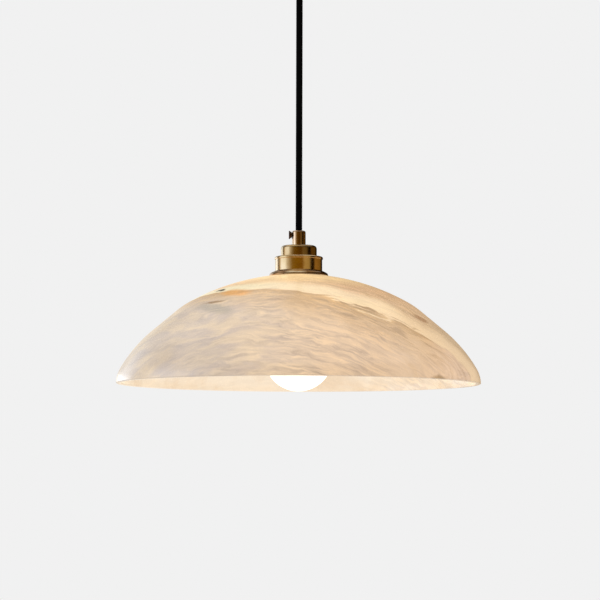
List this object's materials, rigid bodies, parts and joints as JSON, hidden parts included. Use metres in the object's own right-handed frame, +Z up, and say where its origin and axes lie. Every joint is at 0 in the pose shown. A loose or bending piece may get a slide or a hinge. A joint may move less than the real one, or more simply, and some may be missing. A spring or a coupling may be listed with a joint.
{
  "type": "pendant light",
  "caption": "Pendant light with a shallow open alabaster dome on an aged brass screw lampholder, hung from a small ceiling rose by a black textile cord.",
  "frame": {"origin": "on the ceiling plane, on the cord's axis, midway between the two ceiling screws", "axes": "+Z up into the ceiling, +X along the line of the two ceiling screws and to the right in the picture, -Y towards the viewer"},
  "size_m": [0.3499, 0.35, 0.435],
  "materials": {
    "aged_brass": "aged, satin",
    "bright_brass": "bright",
    "phosphor_bronze": "spring strip",
    "alabaster": "polished, cloudy",
    "textile_cord": "braided",
    "zinc_steel": "zinc plated",
    "tinned_copper": "tinned",
    "white_polyamide": "moulded",
    "brown_core": "extruded",
    "blue_core": "extruded",
    "green_core": "extruded",
    "porcelain": "glazed",
    "silicone": "matte",
    "nickel_cap": "pressed",
    "black_glass": "fused glass",
    "opal_glass": "opal, lit",
    "clear_glass": "clear",
    "phosphor": "coated",
    "circuit_board": "lacquered"
  },
  "bodies": {
    "ceiling_rose": {"rose_cup": "aged_brass", "mounting_bracket": "zinc_steel", "cup_screws": "aged_brass", "rose_cord_grip": "aged_brass", "rose_grip_nut": "aged_brass", "terminal_strip": "white_polyamide", "way_sleeves": "bright_brass", "way_screws": "bright_brass", "strip_fixings": "zinc_steel", "earth_screw": "zinc_steel", "earth_lug": "tinned_copper", "rose_live_core": "brown_core", "rose_neutral_core": "blue_core", "rose_earth_core": "green_core", "earth_link": "green_core", "cord_tail": "textile_cord"},
    "rose_pad": {"rose_grip_pad": "bright_brass"},
    "rose_screw": {"rose_grip_screw": "aged_brass"},
    "cord_neck": {"cord_neck": "textile_cord"},
    "cord": {"cord": "textile_cord"},
    "lampholder": {"lamp_cord_grip": "aged_brass", "lamp_grip_nut": "aged_brass", "holder_cap": "aged_brass", "holder_body": "aged_brass", "shade_collar": "aged_brass", "holder_sleeve": "aged_brass", "socket_insulator": "porcelain", "screw_shell": "bright_brass", "centre_contact": "phosphor_bronze", "live_terminal": "bright_brass", "neutral_terminal": "bright_brass", "earth_terminal": "bright_brass", "holder_terminal_screws": "bright_brass", "holder_live_core": "brown_core", "holder_neutral_core": "blue_core", "holder_earth_core": "green_core", "cord_end": "textile_cord", "upper_gasket": "silicone"},
    "lamp_pad": {"lamp_grip_pad": "bright_brass"},
    "lamp_screw": {"lamp_grip_screw": "aged_brass"},
    "shade": {"shade": "alabaster", "lower_gasket": "silicone"},
    "shade_ring": {"shade_ring": "aged_brass"},
    "bulb_tip": {"bulb_contact": "bright_brass", "bulb_insulator": "black_glass"},
    "bulb": {"bulb_cap": "nickel_cap", "bulb_globe": "opal_glass", "bulb_stem": "clear_glass", "bulb_filaments": "phosphor", "bulb_driver": "circuit_board"}
  },
  "joints": [
    {"name": "swing_side", "type": "hinge", "parent": "ceiling_rose", "child": "cord_neck", "pos_m": [0, 0, -0.046], "axis": [0, 1, 0], "range_deg": [-20, 20]},
    {"name": "swing_front", "type": "hinge", "parent": "cord_neck", "child": "cord", "pos_m": [0, 0, -0.056], "axis": [1, 0, 0], "range_deg": [-20, 20]},
    {"name": "lamp_twist", "type": "hinge", "parent": "cord", "child": "lampholder", "pos_m": [0, 0, -0.2797], "axis": [0, 0, 1], "range_deg": [-180, 180], "stiffness_Nm_per_rad": 0.01},
    {"name": "lamp_pad_travel", "type": "slide", "parent": "lampholder", "child": "lamp_pad", "axis": [-1, 0, 0], "range_m": [0, 0.0014]},
    {"name": "lamp_screw_turn", "type": "hinge", "parent": "lamp_pad", "child": "lamp_screw", "pos_m": [0, 0, -0.2837], "axis": [-1, 0, 0], "range_deg": [0, 720.1]},
    {"name": "rose_pad_travel", "type": "slide", "parent": "ceiling_rose", "child": "rose_pad", "axis": [-1, 0, 0], "range_m": [0, 0.0014]},
    {"name": "rose_screw_turn", "type": "hinge", "parent": "rose_pad", "child": "rose_screw", "pos_m": [0, 0, -0.0407], "axis": [-1, 0, 0], "range_deg": [0, 720.1]},
    {"name": "shade_drop", "type": "slide", "parent": "lampholder", "child": "shade", "axis": [0, 0, -1], "range_m": [0, 0.0075]},
    {"name": "shade_ring_turn", "type": "hinge", "parent": "shade", "child": "shade_ring", "pos_m": [0, 0, -0.4285], "axis": [0, 0, -1], "range_deg": [0, 1080.1]},
    {"name": "bulb_drop", "type": "slide", "parent": "lampholder", "child": "bulb_tip", "axis": [0, 0, -1], "range_m": [0, 0.01814]},
    {"name": "bulb_turn", "type": "hinge", "parent": "bulb_tip", "child": "bulb", "pos_m": [0, 0, -0.4285], "axis": [0, 0, -1], "range_deg": [0, 1800.1]}
  ],
  "couplings": [
    {"joint": "lamp_screw_turn", "follows": "lamp_pad_travel", "rad_per_m": 8976},
    {"joint": "rose_screw_turn", "follows": "rose_pad_travel", "rad_per_m": 8976},
    {"joint": "shade_ring_turn", "follows": "shade_drop", "rad_per_m": 2513.3},
    {"joint": "bulb_turn", "follows": "bulb_drop", "rad_per_m": 1731.4}
  ]
}
